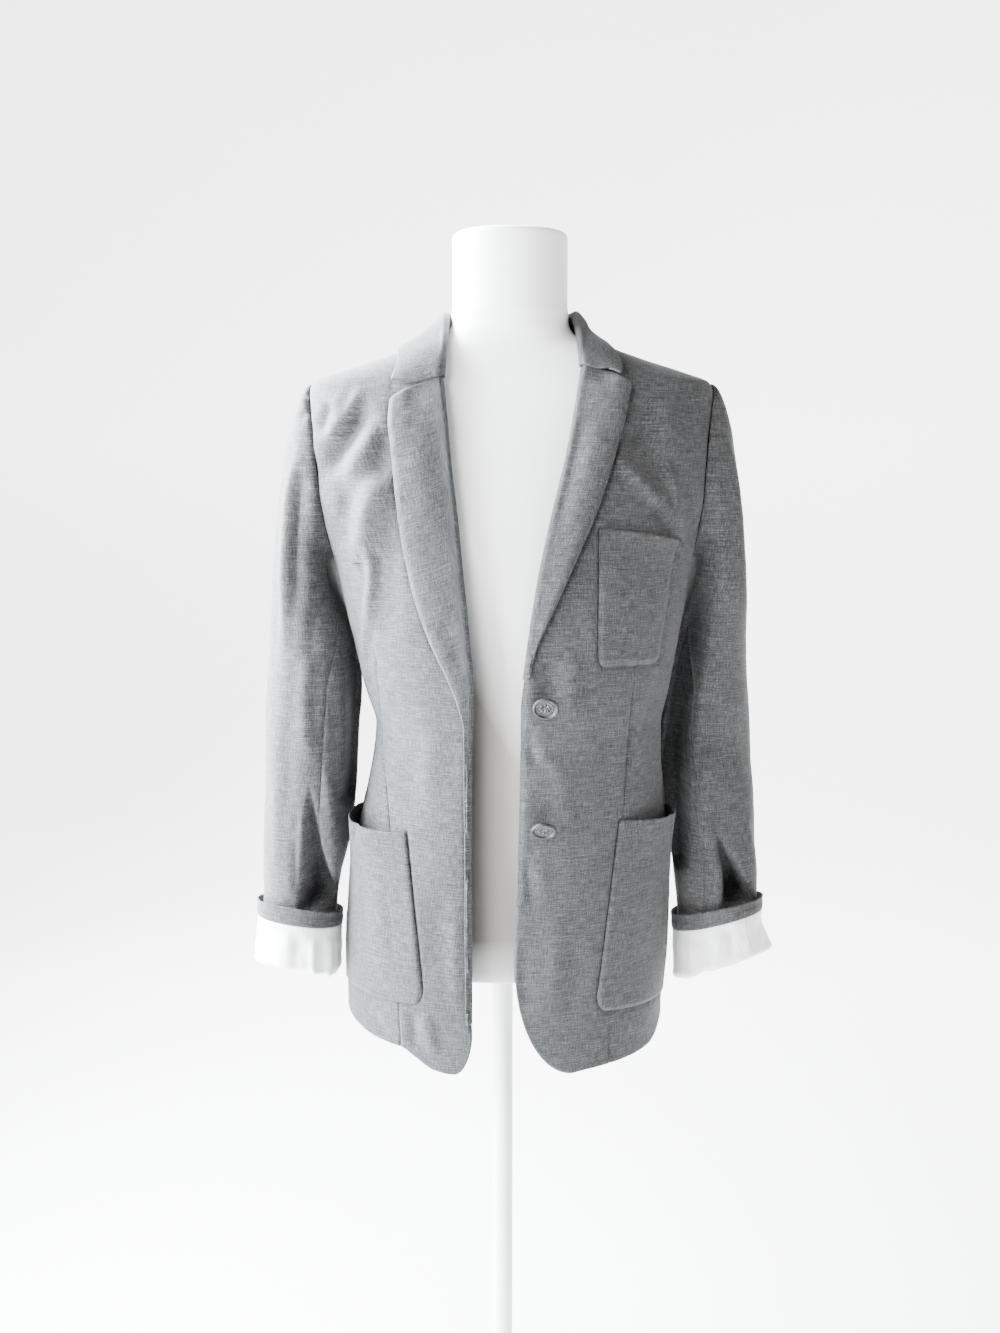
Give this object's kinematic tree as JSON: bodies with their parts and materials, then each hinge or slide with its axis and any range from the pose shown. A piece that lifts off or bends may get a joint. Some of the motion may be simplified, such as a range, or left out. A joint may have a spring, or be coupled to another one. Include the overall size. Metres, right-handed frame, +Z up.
{
  "type": "single breasted blazer on a dress form",
  "caption": "Tailored jacket with notched lapels, patch pockets and turned-back cuffs, worn open on a limbless dress form that stands on a pole and round base.",
  "frame": {"origin": "centre of the stand base's underside, on the floor", "axes": "+Z up along the stand pole, the jacket's front faces -Y, the viewer's right is +X"},
  "size_m": [0.5387, 0.32, 1.445],
  "materials": {
    "wool": "grey melange plain weave suiting, matt",
    "lining": "white satin lining with faint grey stripes",
    "button_metal": "dark pewter, cast relief face inside a raised rim",
    "form_cover": "smooth white jersey cover, matt",
    "stand_paint": "white satin paint"
  },
  "bodies": {
    "root": {"front_left": "wool", "front_right": "wool", "back_left": "wool", "back_right": "wool", "top_sleeve_left": "wool", "top_sleeve_right": "wool", "under_sleeve_left": "wool", "under_sleeve_right": "wool", "cuff_band_left": "wool", "cuff_band_right": "wool", "collar": "wool", "lapel_left": "wool", "lapel_right": "wool", "pocket_left": "wool", "pocket_right": "wool", "breast_pocket": "wool", "cuff_lining_left": "lining", "cuff_lining_right": "lining", "button_upper": "button_metal", "button_lower": "button_metal", "dress_form": "form_cover", "stand_pole": "stand_paint", "stand_base": "stand_paint"}
  },
  "joints": []
}
